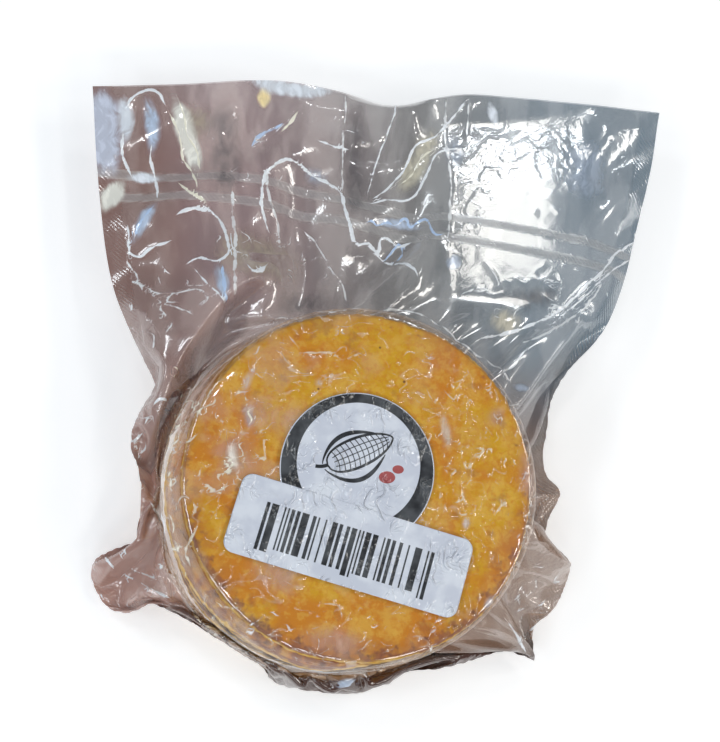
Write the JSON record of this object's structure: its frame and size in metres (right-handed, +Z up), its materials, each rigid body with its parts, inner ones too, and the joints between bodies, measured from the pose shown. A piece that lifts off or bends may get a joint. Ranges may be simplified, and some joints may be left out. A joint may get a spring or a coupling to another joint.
{
  "type": "vacuum-packed arepa corn cake stack",
  "caption": "Stack of round toasted corn cakes shrunk tight in a clear vacuum bag with a wide open flap, a round label and a bar label on top.",
  "frame": {"origin": "middle of the stack's flat underside, on the surface that the pack lies on", "axes": "+Z up through the stack to the labels, +Y along the flap to the bag's mouth, +X to the right with the labels up"},
  "size_m": [0.2125, 0.2167, 0.0532],
  "materials": {
    "clear_film": "clear glossy nylon and polythene film with fine creases",
    "corn_cake": "toasted sweet-corn dough, moist, with a browned rim",
    "label_paper": "smooth white thermal label",
    "label_print": "black print"
  },
  "bodies": {
    "root": {"vacuum_bag": "clear_film", "round_label": "label_paper", "bar_label": "label_paper"}
  },
  "joints": []
}
